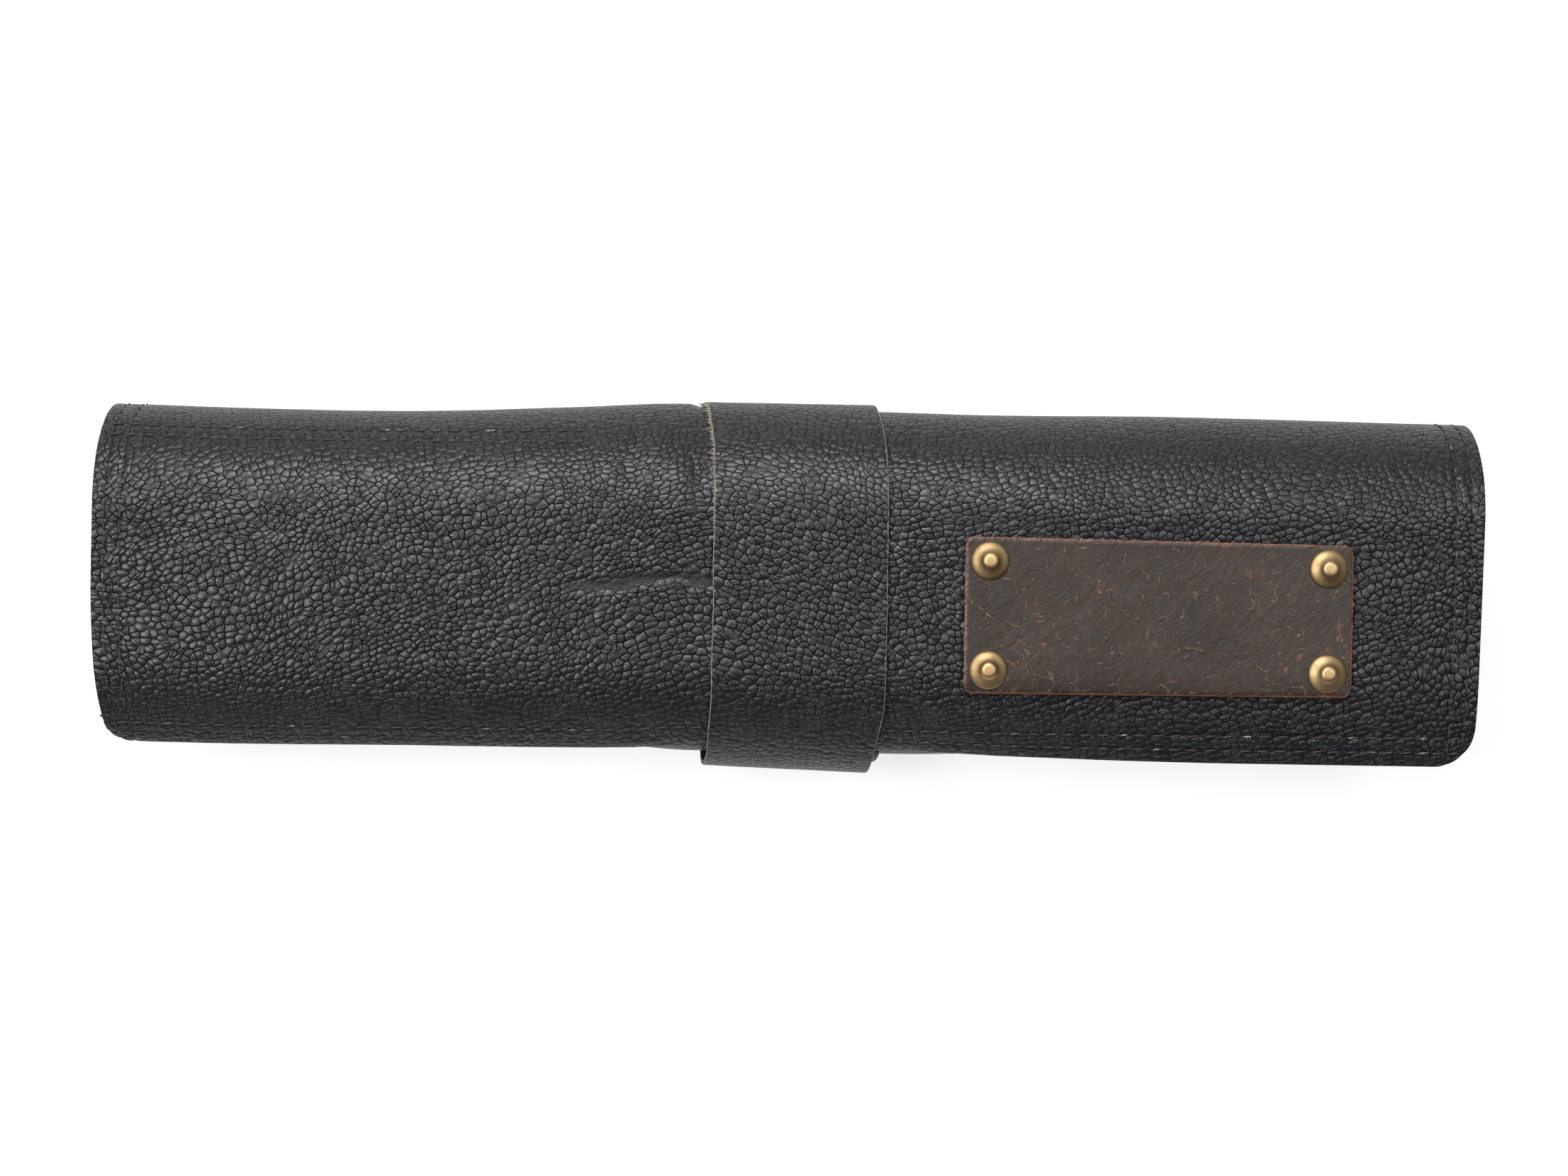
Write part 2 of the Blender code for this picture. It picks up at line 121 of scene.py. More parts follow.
MIDDLE_Y = (BAND_SAG + BAND_SAG_SKEW / 2 - BAND_CREST) / 2

# Dents and swellings of the leather: where along the roll, how far along the sheet from the
# flap's edge, half widths both ways, height (a dent is below zero) and slant in degrees
Dent = namedtuple("Dent", "x s half_x half_s height slant")
DENTS = (
    Dent(x=-0.038, s=0.094, half_x=0.009, half_s=0.026, height=0.0012, slant=14),
    Dent(x=-0.055, s=0.104, half_x=0.005, half_s=0.020, height=-0.0008, slant=-8),
    Dent(x=-0.066, s=0.106, half_x=0.006, half_s=0.022, height=0.0005, slant=-6),
    Dent(x=0.041, s=0.072, half_x=0.008, half_s=0.012, height=0.0008, slant=0),
    Dent(x=-0.150, s=0.064, half_x=0.085, half_s=0.030, height=0.0010, slant=0),
    Dent(x=0.130, s=0.088, half_x=0.110, half_s=0.016, height=0.0009, slant=-2),
    Dent(x=0.210, s=0.050, half_x=0.030, half_s=0.034, height=0.0007, slant=-20),
)

Leg = namedtuple("Leg", "name turn")
LEGS = (
    Leg("flap", 0),
    Leg("front", 0),
    Leg("upper front bend", 0),
    Leg("upper back bend", 0),
    Leg("back", 0),
    Leg("lower back bend", 0),
    Leg("lower front bend", 1),
    Leg("front", 1),
    Leg("upper front bend", 1),
    Leg("upper back bend", 1),
    Leg("back", 1),
)
LEG_STEPS = 16


def smooth(share):
    """Eases a share from 0 to 1, level at both ends."""
    share = min(1.0, max(0.0, share))
    return share * share * (3 - 2 * share)


def mix(start, end, share):
    """The value at a share of the way from start to end."""
    return start + (end - start) * share


def bell(distance, half):
    """1 in the middle and 0 from half a width outwards, with soft shoulders."""
    return 1 - smooth(abs(distance) / half)


def table_value(along, name):
    """Reads one column of SECTIONS, on a smooth curve through its rows."""
    places = [row.along for row in SECTIONS]
    values = [getattr(row, name) for row in SECTIONS]
    last = len(SECTIONS) - 1
    k = min(last - 1, max(0, sum(place <= along for place in places) - 1))

    def slope(i):
        before, after = max(0, i - 1), min(last, i + 1)
        return (values[after] - values[before]) / (places[after] - places[before])

    run = places[k + 1] - places[k]
    t = (along - places[k]) / run
    return (
        (2 * t**3 - 3 * t**2 + 1) * values[k]
        + (t**3 - 2 * t**2 + t) * run * slope(k)
        + (3 * t**2 - 2 * t**3) * values[k + 1]
        + (t**3 - t**2) * run * slope(k + 1)
    )


def near_end(x):
    """1 at either end of the roll, fading to 0 at END_RUN from it."""
    return 1 - smooth((ROLL_LENGTH / 2 - abs(x)) / END_RUN)


def end_lean(x, y):
    """How far the ends of the roll are drawn in at x, at y below or above the middle line."""
    low = -y / ROLL_REACH
    if x < 0:
        lean = LEFT_LEAN * (max(0.0, low - 0.07) / 0.83) ** 1.5
    else:
        lean = RIGHT_LEAN * max(0.0, low + 0.67) / 1.58
    return math.copysign(lean * near_end(x), x)


def pinch(x, margin, run):
    """How much of the band's pinch the roll feels at x, from 0 to 1."""
    outside = abs(x - BAND_AT) - BAND_WIDTH / 2 - margin
    return 1 - smooth(outside / run)


def section(x):
    """The roll's section at x, as lengths from the middle line and from the surface below."""
    along = x / ROLL_LENGTH + 0.5
    near = pinch(x, PINCH_CREST_MARGIN, PINCH_SHORT)
    far = pinch(x, PINCH_MARGIN, PINCH_LONG)
    tuck = near_end(x) * (LEFT_TUCK if x < 0 else RIGHT_TUCK)

    def value(name, share):
        return mix(table_value(along, name), getattr(PINCHED, name), share)

    return {
        "crest": ROLL_REACH * value("crest", near),
        "belly": ROLL_REACH * value("belly", far) - tuck,
        "flap": ROLL_REACH * value("flap", far),
        "drop": ROLL_DEPTH * value("drop", far),
        "front": ROLL_DEPTH * value("front", far),
        "back": (BAND_LEATHER + CLEARANCE) * far,
    }


def quarter(centre, reach_y, reach_z, angle):
    """A point on a quarter of an ellipse: angle 0 is at its side, 90 degrees at its face."""
    return centre[0] + reach_y * math.cos(angle), centre[1] + reach_z * math.sin(angle)


def spiral(cut, leg, share):
    """(y, z) of the sheet's outer face at a share of one leg of the spiral."""
    inward = PITCH * leg.turn
    slack = INNER_SLACK * leg.turn
    front, back = cut["front"] - inward, cut["back"] + inward
    crest, belly = cut["crest"] - inward - slack, cut["belly"]
    turning = share * math.pi / 2
    if leg.name == "flap":
        run = cut["flap"] - FACE_DOWN
        angle = 2 * math.atan(cut["drop"] / run)
        radius = run / math.sin(angle)
        at = angle * (1 - share)
        return -FACE_DOWN - radius * math.sin(at), front - radius * (1 - math.cos(at))
    if leg.name == "front":
        return mix(-FACE_DOWN, FACE_UP, share), front
    if leg.name == "upper front bend":
        centre = (FACE_UP, SIDE_HEIGHT)
        return quarter(centre, crest - FACE_UP, front - SIDE_HEIGHT, math.pi / 2 - turning)
    if leg.name == "upper back bend":
        centre = (BACK_UP, SIDE_HEIGHT)
        return quarter(centre, crest - BACK_UP, back - SIDE_HEIGHT, turning)
    if leg.name == "back":
        low = mix(BACK_DOWN, INNER_END_DOWN, leg.turn)
        return mix(BACK_UP, -low, share), back
    if leg.name == "lower back bend":
        centre = (-BACK_DOWN, SIDE_HEIGHT)
        return quarter(centre, BACK_DOWN - belly, back - SIDE_HEIGHT, math.pi / 2 - turning)
    centre = (-FACE_DOWN, SIDE_HEIGHT)
    return quarter(centre, FACE_DOWN - belly, front - SIDE_HEIGHT, turning)


def band_section(across):
    """The band's own section, at a share of its width from -0.5 at the left edge to 0.5."""
    pinched = section(BAND_AT)
    return {
        "crest": BAND_CREST,
        "sag": BAND_SAG + BAND_SAG_SKEW * across,
        "tuck": BAND_TUCK,
        "front": pinched["front"] + CLEARANCE + BAND_LEATHER,
        "back": 0.0,
    }


def band_turn(cut, leg, share):
    """(y, z) of the band's outer face: turn 0 is the tucked layer and turn 1 the outer one."""
    front, back = cut["front"], cut["back"]
    if leg.name == "lower front bend" and leg.turn == 0:
        share = mix(1 - BAND_TUCK_START, 1, share)
    if leg.name == "lower back bend" and leg.turn == 1:
        share = BAND_END * share
    turning = share * math.pi / 2
    low = mix(cut["tuck"], cut["sag"], leg.turn)
    under = (BAND_LEATHER + 2 * CLEARANCE) * leg.turn
    if leg.name == "lower front bend":
        rise = front - SIDE_HEIGHT - (1 - leg.turn) * (BAND_LEATHER + PITCH)
        return quarter((-FACE_DOWN, SIDE_HEIGHT), FACE_DOWN - low, rise, math.pi / 2 - turning)
    if leg.name == "lower back bend":
        fall = back - under - SIDE_HEIGHT
        return quarter((-BACK_DOWN, SIDE_HEIGHT), BACK_DOWN - low, fall, turning)
    if leg.name == "back":
        return mix(-BACK_DOWN, BACK_UP, share), back
    if leg.name == "upper back bend":
        centre = (BACK_UP, SIDE_HEIGHT)
        return quarter(centre, cut["crest"] - BACK_UP, back - SIDE_HEIGHT, math.pi / 2 - turning)
    if leg.name == "upper front bend":
        centre = (FACE_UP, SIDE_HEIGHT)
        return quarter(centre, cut["crest"] - FACE_UP, front - SIDE_HEIGHT, turning)
    return mix(FACE_UP, -FACE_DOWN, share), front


def band_lean(across, y, z):
    """How far the band lies to the right of its middle plane, at a share of its width."""
    upper = smooth((y / ROLL_REACH - 0.75) / 0.33)
    lower = smooth((-y / ROLL_REACH - 0.67) / 0.33)
    lean = BAND_FRONT_LEAN * (z / ROLL_DEPTH - 0.5)
    return lean - BAND_TOP_SHIFT * upper - BAND_LOW_TAPER * (across + 0.5) * lower


BAND_LEGS = (
    Leg("lower front bend", 0),
    Leg("lower back bend", 0),
    Leg("back", 0),
    Leg("upper back bend", 0),
    Leg("upper front bend", 0),
    Leg("front", 1),
    Leg("lower front bend", 1),
    Leg("lower back bend", 1),
)


class Line:
    """A section of leather as a line of points, read by the distance along it."""

    def __init__(self, legs, turn, cut):
        points = []
        for leg in legs:
            first = 1 if points else 0
            points += [turn(cut, leg, k / LEG_STEPS) for k in range(first, LEG_STEPS + 1)]
        self.points = points
        self.reached = [0.0]
        for (y0, z0), (y1, z1) in zip(points, points[1:]):
            self.reached.append(self.reached[-1] + math.hypot(y1 - y0, z1 - z0))
        self.length = self.reached[-1]

    def read(self, distance):
        """((y, z), direction) at a distance from the line's start."""
        low, high = 0, len(self.points) - 1
        while high - low > 1:
            middle = (low + high) // 2
            if self.reached[middle] <= distance:
                low = middle
            else:
                high = middle
        (y0, z0), (y1, z1) = self.points[low], self.points[high]
        run = self.reached[high] - self.reached[low]
        share = (distance - self.reached[low]) / run
        before = self.points[max(0, low - 1)]
        after = self.points[min(len(self.points) - 1, high + 1)]
        start = (y1 - before[0], z1 - before[1])
        end = (after[0] - y0, after[1] - z0)
        slope = (mix(start[0], end[0], share), mix(start[1], end[1], share))
        size = math.hypot(*slope)
        return (mix(y0, y1, share), mix(z0, z1, share)), (slope[0] / size, slope[1] / size)


LINES = {}


def roll_line(x):
    """The sheet's line at x, kept for the next time it is asked for."""
    key = round(x, 5)
    if key not in LINES:
        LINES[key] = Line(LEGS, spiral, section(x))
    return LINES[key]


def corner_trim(x):
    """How far the flap's edge is set back at x by its rounded corners."""
    half = ROLL_LENGTH / 2
    left, right = x + half, half - x
    for inset, radius in ((left, LEFT_CORNER), (right, RIGHT_CORNER)):
        if inset < radius:
            return radius - math.sqrt(max(0.0, radius**2 - (radius - inset) ** 2))
    return 0.0


def groove(distance):
    """The hollow that a row of stitches presses into leather, 1 on the row itself."""
    return math.exp(-((distance / GROOVE_WIDTH) ** 2))


def relief(x, s):
    """How far the leather stands out from its plain section at x, and s along the sheet."""
    up = 0.0
    for dent in DENTS:
        dx, ds = x - dent.x, s - dent.s
        if abs(dx) > dent.half_x + dent.half_s or abs(ds) > dent.half_x + dent.half_s:
            continue
        slant = math.radians(dent.slant)
        along = dx * math.cos(slant) + ds * math.sin(slant)
        across = ds * math.cos(slant) - dx * math.sin(slant)
        up += dent.height * bell(math.hypot(along / dent.half_x, across / dent.half_s), 1.0)
    up += 0.00008 * noise.noise(Vector((x / 0.021, s / 0.015, 3.0)))
    up += 0.00004 * noise.noise(Vector((x / 0.008, s / 0.006, 9.0)))
    away = [ROLL_LENGTH / 2 - abs(x) - row for row in END_ROWS]
    away += [s - row for row in FLAP_ROWS]
    if x < SEAM_END:
        away += [s - row for row in SEAM_ROWS]
    return up - GROOVE_DEPTH * max(groove(distance) for distance in away)


def on_roll(x, s):
    """(point, normal, direction along the sheet) of the roll's outer face."""
    (y, z), (dy, dz) = roll_line(x).read(s)
    normal = Vector((0.0, -dz, dy))
    return Vector((x - end_lean(x, y), MIDDLE_Y + y, z)), normal, Vector((0.0, dy, dz))


def srgb(code):
    """A hex colour such as 3a3a3c, as linear red, green, blue and alpha."""

    def linear(part):
        share = int(part, 16) / 255
        return share / 12.92 if share <= 0.04045 else ((share + 0.055) / 1.055) ** 2.4

    return linear(code[0:2]), linear(code[2:4]), linear(code[4:6]), 1.0


def add_node(tree, kind, inputs=(), **settings):
    """Adds a shader node with its settings; an input is a value, or an output to link."""
    made = tree.nodes.new("ShaderNode" + kind)
    for name, value in settings.items():
        setattr(made, name, value)
    for name, value in dict(inputs).items():
        socket = made.inputs[name]
        if isinstance(value, bpy.types.NodeSocket):
            tree.links.new(value, socket)
        else:
            socket.default_value = value
    return made


def new_material(name):
    """An empty material, its node tree and its output node."""
    made = bpy.data.materials.new(name)
    made.use_nodes = True
    made.node_tree.nodes.clear()
    return made, made.node_tree, add_node(made.node_tree, "OutputMaterial")


def ramp(tree, value, low, high, start=0.0, end=1.0):
    """Turns a value between low and high into a soft step from start to end."""
    inputs = {"Value": value, 1: low, 2: high, 3: start, 4: end}
    return add_node(tree, "MapRange", inputs, interpolation_type="SMOOTHSTEP").outputs[0]


def math_node(tree, operation, first, second=0.0):
    """One sum, product or the like of two values."""
    return add_node(tree, "Math", {0: first, 1: second}, operation=operation).outputs[0]


def weighted_sum(tree, *parts):
    """Adds values up, each times its own weight."""
    total = 0.0
    for value, weight in parts:
        inputs = {0: value, 1: weight, 2: total}
        total = add_node(tree, "Math", inputs, operation="MULTIPLY_ADD").outputs[0]
    return total


def blend_colours(tree, share, first, second):
    """The first colour where share is 0 and the second where it is 1."""
    inputs = {"Factor": share, "A": first, "B": second}
    return add_node(tree, "Mix", inputs, data_type="RGBA").outputs["Result"]


def mottle(tree, place, scale, detail):
    """Soft random spots, from 0 to 1: scale is how many of them fit in one unit of place."""
    inputs = {"Vector": place, "Scale": scale, "Detail": detail}
    return add_node(tree, "TexNoise", inputs).outputs["Fac"]


def mesh_value(tree, name):
    """A value that the mesh carries at each of its vertices."""
    return add_node(tree, "Attribute", attribute_name=name).outputs["Fac"]


def slanted_cells(tree, flat, degrees, cell):
    """Places on the leather counted in cells of a length and a width, slanted by degrees."""
    inputs = {
        "Vector": flat,
        "Rotation": (0.0, 0.0, math.radians(degrees)),
        "Scale": (*cell, 1.0),
    }
    return add_node(tree, "Mapping", inputs, vector_type="TEXTURE").outputs[0]


def border_distance(tree, cells, scale, randomness):
    """How far each place is from the nearest border between two random cells."""
    inputs = {"Vector": cells, "Scale": scale, "Randomness": randomness}
    settings = {"voronoi_dimensions": "2D", "feature": "DISTANCE_TO_EDGE"}
    return add_node(tree, "TexVoronoi", inputs, **settings).outputs["Distance"]


def bumps(tree, height, distance):
    """The normal of a surface with small relief, of which distance is the depth in metres."""
    inputs = {"Height": height, "Distance": distance, "Strength": 1.0}
    return add_node(tree, "Bump", inputs).outputs["Normal"]


def give_surface(tree, output, inputs):
    """Ends a material in one shader, which is its surface."""
    shader = add_node(tree, "BsdfPrincipled", inputs)
    tree.links.new(shader.outputs["BSDF"], output.inputs["Surface"])


def leather_coordinates(tree, wander_size, wander, drift_size, drift):
    """The piece's UV map in metres, bent so that the grain flows and no row of it is straight."""
    flat = add_node(tree, "UVMap", uv_map="leather").outputs["UV"]
    for size, amount in ((drift_size, drift), (wander_size, wander)):
        bend = add_node(tree, "TexNoise", {"Vector": flat, "Scale": 1 / size, "Detail": 1.0})
        centred = add_node(
            tree, "VectorMath", {0: bend.outputs["Color"], 1: (0.5, 0.5, 0.5)}, operation="SUBTRACT"
        )
        scaled = add_node(
            tree, "VectorMath", {0: centred.outputs[0], "Scale": amount}, operation="SCALE"
        )
        flat = add_node(
            tree, "VectorMath", {0: flat, 1: scaled.outputs[0]}, operation="ADD"
        ).outputs[0]
    return flat


def pebbled_leather(name, pebble, depth):
    """Chrome-tanned cowhide, drum-dyed black and milled, so that it shrinks into round pebbles
    two to three millimetres wide, with painted shade in the creases between them:
    satin tops, dull creases."""
    made, tree, output = new_material(name)
    flat = leather_coordinates(
        tree, wander_size=0.011, wander=0.0026, drift_size=0.070, drift=0.018
    )
    pebbles = slanted_cells(tree, flat, 14, (pebble * 1.3, pebble))
    long_folds = slanted_cells(tree, flat, -34, (0.014, 0.0055))

    # 0 in a crease and 1 on a pebble; some creases run on in long folds and some are shallow
    raised = ramp(tree, border_distance(tree, pebbles, 1.0, 0.85), -0.02, 0.10)
    unfolded = ramp(tree, border_distance(tree, long_folds, 1.0, 1.0), -0.03, 0.05, 0.2, 1.0)
    raised = math_node(tree, "MULTIPLY", raised, unfolded)
    shallow = ramp(tree, mottle(tree, flat, 260.0, 1.0), 0.48, 0.66, 0.0, 0.6)
    raised = math_node(tree, "MAXIMUM", raised, shallow)

    cell = {"Vector": pebbles, "Scale": 1.0, "Randomness": 0.85}
    centres = add_node(tree, "TexVoronoi", cell, voronoi_dimensions="2D").outputs["Distance"]
    dome = ramp(tree, math_node(tree, "POWER", centres, 2.0), 0.62, -0.25)
    fine_crease = ramp(tree, border_distance(tree, pebbles, 1.9, 1.0), 0.16, 0.0)
    patchy = ramp(tree, mottle(tree, flat, 110.0, 2.0), 0.38, 0.62)
    fine_crease = math_node(tree, "MULTIPLY", fine_crease, patchy)
    pores = mottle(tree, flat, 1900.0, 2.0)
    height = weighted_sum(tree, (raised, 0.35), (dome, 0.65), (fine_crease, -0.15), (pores, 0.06))
    flattened = math_node(tree, "MULTIPLY", mesh_value(tree, "worn"), 0.85)
    height = math_node(tree, "MULTIPLY", height, math_node(tree, "SUBTRACT", 1.0, flattened))

    tops = blend_colours(tree, mottle(tree, flat, 24.0, 3.0), srgb("121217"), srgb("18181c"))
    # Painted shade: the creases, fine ones too, are darkened towards 050508 while the pebble tops
    # keep their tone
    crease_shade_mask = weighted_sum(tree, (raised, 1.0), (fine_crease, -0.5))
    colour = blend_colours(tree, crease_shade_mask, srgb("050508"), tops)
    rubbed = math_node(tree, "ADD", mesh_value(tree, "rubbed"), mottle(tree, flat, 900.0, 3.0))
    colour = blend_colours(tree, ramp(tree, rubbed, 0.95, 1.25), colour, srgb("7d766f"))
    surface = {
        "Base Color": colour,
        "Roughness": ramp(tree, raised, 0.0, 1.0, 0.65, 0.40),
        "Specular IOR Level": ramp(tree, raised, 0.0, 1.0, 0.10, 0.48),
        "Normal": bumps(tree, height, depth),
    }
    give_surface(tree, output, surface)
    return made


def suede(name, light, dark):
    """The flesh side and cut edges of the hide: dull, fibrous and a little lighter."""
    made, tree, output = new_material(name)
    place = add_node(tree, "TexCoord").outputs["Object"]
    nap = {"Vector": place, "Scale": 1500.0, "Detail": 4.0, "Roughness": 0.7}
    fibres = add_node(tree, "TexNoise", nap).outputs["Fac"]
    surface = {
        "Base Color": blend_colours(tree, fibres, srgb(dark), srgb(light)),
        "Roughness": 0.9,
        "Specular IOR Level": 0.15,
        "Normal": bumps(tree, fibres, 0.0003),
    }
    give_surface(tree, output, surface)
    return made


def crackled_leather(name):
    """Oil-waxed cowhide with a dark topcoat that has cracked as it was bent: raised pale lines
    run slantwise over a dull grey-brown, with rust where the coat has rubbed through."""
    made, tree, output = new_material(name)
    flat = leather_coordinates(
        tree, wander_size=0.0030, wander=0.0030, drift_size=0.030, drift=0.008
    )
    cells = slanted_cells(tree, flat, 50, (0.018, 0.0055))
    patchy = mottle(tree, flat, 90.0, 3.0)
    crackle = 0.0
    for scale, width, low, high, share in (
        (1.0, 0.022, 0.36, 0.54, 0.9),
        (1.8, 0.032, 0.62, 0.44, 0.9),
        (3.4, 0.055, 0.25, 0.60, 0.7),
    ):
        line = ramp(tree, border_distance(tree, cells, scale, 1.0), width, 0.0)
        line = math_node(tree, "MULTIPLY", line, ramp(tree, patchy, low, high, 0.0, share))
        crackle = math_node(tree, "MAXIMUM", crackle, line)
    grain = mottle(tree, flat, 1400.0, 3.0)
    waves = mottle(tree, cells, 1.4, 2.0)
    height = weighted_sum(tree, (crackle, 1.0), (grain, 0.25), (waves, 0.9))

    cloud = mottle(tree, flat, 34.0, 3.0)
    coat = blend_colours(tree, ramp(tree, cloud, 0.3, 0.7), srgb("1f1815"), srgb("2c2320"))
    coat = blend_colours(tree, math_node(tree, "MULTIPLY", crackle, 0.62), coat, srgb("836c5b"))
    specks = ramp(tree, mottle(tree, flat, 330.0, 2.0), 0.64, 0.74)
    rust = math_node(tree, "MULTIPLY", specks, ramp(tree, cloud, 0.4, 0.6))
    rust = math_node(tree, "MULTIPLY", rust, 0.5)
    rust = math_node(tree, "MAXIMUM", rust, mesh_value(tree, "worn"))
    surface = {
        "Base Color": blend_colours(tree, rust, coat, srgb("7a4a31")),
        "Roughness": 0.46,
        "Specular IOR Level": 0.45,
        "Normal": bumps(tree, height, 0.00030),
    }
    give_surface(tree, output, surface)
    return made


def aged_brass(name):
    """Pressed brass with an antique finish: half polished on the dome, brown where the polishing
    wheel does not reach, with fine scratches."""
    made, tree, output = new_material(name)
    place = add_node(tree, "TexCoord").outputs["Object"]
    stain = ramp(tree, mottle(tree, place, 420.0, 4.0), 0.5, 0.8, 0.0, 0.5)
    dull = math_node(tree, "MAXIMUM", mesh_value(tree, "worn"), stain)
    fine = mottle(tree, place, 3000.0, 2.0)
    surface = {
        "Base Color": blend_colours(tree, dull, srgb("b0966f"), srgb("6b5234")),
        "Metallic": 1.0,
        "Roughness": ramp(tree, fine, 0.3, 0.7, 0.46, 0.54),
        "Normal": bumps(tree, fine, 0.00003),
    }
    give_surface(tree, output, surface)
    return made


def waxed_thread(name):
    """Bonded polyester thread, brown-black, with pale specks scattered at random over it as painted
    highlights.
    """
    made, tree, output = new_material(name)
    place = add_node(tree, "TexCoord").outputs["Object"]
    # Painted highlights: pale 8f8984 specks scattered by noise over the dark thread
    painted_glint_specks = ramp(tree, mottle(tree, place, 260.0, 3.0), 0.60, 0.78)
    surface = {
        "Base Color": blend_colours(tree, painted_glint_specks, srgb("3b3132"), srgb("8f8984")),
        "Roughness": 0.7,
        "Specular IOR Level": 0.3,
    }
    give_surface(tree, output, surface)
    return made


def pale_floor(name):
    """Frosted acrylic top of a light table, lit from below, so that shadows on it stay faint."""
    made, tree, output = new_material(name)
    surface = {
        "Base Color": (0.25, 0.25, 0.25, 1.0),
        "Roughness": 0.9,
        "Specular IOR Level": 0.0,
        "Emission Color": (1.0, 1.0, 1.0, 1.0),
        "Emission Strength": 0.82,
    }
    give_surface(tree, output, surface)
    return made


def add_piece(name, bm, materials):
    """Makes the bmesh into a named piece that rides with the roll."""
    mesh = bpy.data.meshes.new(name)
    bm.to_mesh(mesh)
    bm.free()
    for finish in materials:
        mesh.materials.append(finish)
    mesh.shade_smooth()
    made = bpy.data.objects.new(name, mesh)
    bpy.context.scene.collection.objects.link(made)
    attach(made, "root")
    return made


def leather_wall(piece, thickness):
    """Gives a sheet its wall, with suede inside, cut edges and slightly rubbed corners."""
    wall = piece.modifiers.new("wall", "SOLIDIFY")
    wall.thickness = thickness
    wall.offset = -1
    wall.material_offset = 1
    wall.material_offset_rim = 2
    rub = piece.modifiers.new("rubbed edge", "BEVEL")
    rub.width = 0.0004
    rub.segments = 2
    rub.limit_method = "ANGLE"
    rub.angle_limit = math.radians(60)


def laid_grid(across, around, place):
    """A grid with a column for each place across and a row for each place around, laid by place,
    which gives a point, its UV in metres, how worn it is and how bare its edge is rubbed."""
    bm = bmesh.new()
    last_across, last_around = len(across) - 1, len(around) - 1
    bmesh.ops.create_grid(bm, x_segments=last_across, y_segments=last_around, size=0.5)
    uv_layer = bm.loops.layers.uv.new("leather")
    worn_layer = bm.verts.layers.float.new("worn")
    rubbed_layer = bm.verts.layers.float.new("rubbed")
    flat = {}
    for vert in bm.verts:
        i = round((vert.co.x + 0.5) * last_across)
        j = round((vert.co.y + 0.5) * last_around)
        laid = place(across[i], around[j])
        vert.co, flat[vert], vert[worn_layer], vert[rubbed_layer] = laid
    for face in bm.faces:
        for loop in face.loops:
            loop[uv_layer].uv = flat[loop.vert]
    return bm


def steps(marks):
    """Places from mark to mark.  A mark is (place, largest step on the way to the next mark), so
    the last mark's step is not used."""
    places = [marks[0][0]]
    for (start, step), (end, _) in zip(marks, marks[1:]):
        count = max(1, math.ceil((end - start) / step - 1e-6))
        places += [mix(start, end, k / count) for k in range(1, count + 1)]
    return places


def stretched(y):
    """How smooth the grain is drawn over the upper bend, at y above the middle line."""
    return 0.5 * bell(y - 0.040, 0.024)


def fold_mark(x, s):
    """How flat the leather is pressed by the old fold mark beside the band, from 0 to 1."""
    middle = 0.0635 + 0.0012 * math.sin(x / 0.0085) - 0.03 * (x + 0.05)
    half = 0.0024 + 0.0005 * math.sin(x / 0.0047 + 1.0)
    run = smooth((x + 0.078) / 0.012) * smooth((-0.020 - x) / 0.004)
    return run * (1 - smooth((abs(s - middle) - half + 0.0008) / 0.0012))


def leather_roll(materials):
    """The sheet of the roll, with its dents, pressed stitch rows and rounded flap corners."""
    half = ROLL_LENGTH / 2
    fine, plain = 0.0008, 0.0023
    fold_depth = 0.00025
    across = steps(
        [
            (-half, 0.0003),
            (-half + 0.0012, 0.0007),
            (-half + 0.0112, plain),
            (half - 0.0140, fine),
            (half - 0.0032, 0.0006),
            (half - 0.0012, 0.0003),
            (half, plain),
        ]
    )
    first = roll_line(0.0)
    flap_run = first.reached[LEG_STEPS]
    upper_end = first.reached[3 * LEG_STEPS]
    around = steps(
        [
            (0.0, 0.0012),
            (FLAP_ROWS[0] - 0.0012, fine),
            (FLAP_ROWS[1] + 0.0012, plain),
            (SEAM_ROWS[0] - 0.0012, fine),
            (SEAM_ROWS[1] + 0.0012, plain),
            (upper_end, 0.0045),
            (first.length, plain),
        ]
    )

    def place(x, distance):
        line = roll_line(x)
        own_flap = line.reached[LEG_STEPS]
        if distance < flap_run:
            s = mix(corner_trim(x), own_flap, distance / flap_run)
        else:
            s = mix(own_flap, line.length, (distance - flap_run) / (first.length - flap_run))
        point, normal, _ = on_roll(x, s)
        outer = 1 - smooth((s - upper_end) / 0.02)
        press = fold_mark(x, s)
        up = relief(x, s) * outer - fold_depth * press if outer else 0.0
        drawn = stretched(point.y - MIDDLE_Y) * outer
        return point + normal * up, (x, s), max(press, drawn), 0.0

    piece = add_piece("rolled_leather", laid_grid(across, around, place), materials)
    leather_wall(piece, LEATHER)
    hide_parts("leather_roll")
    return piece


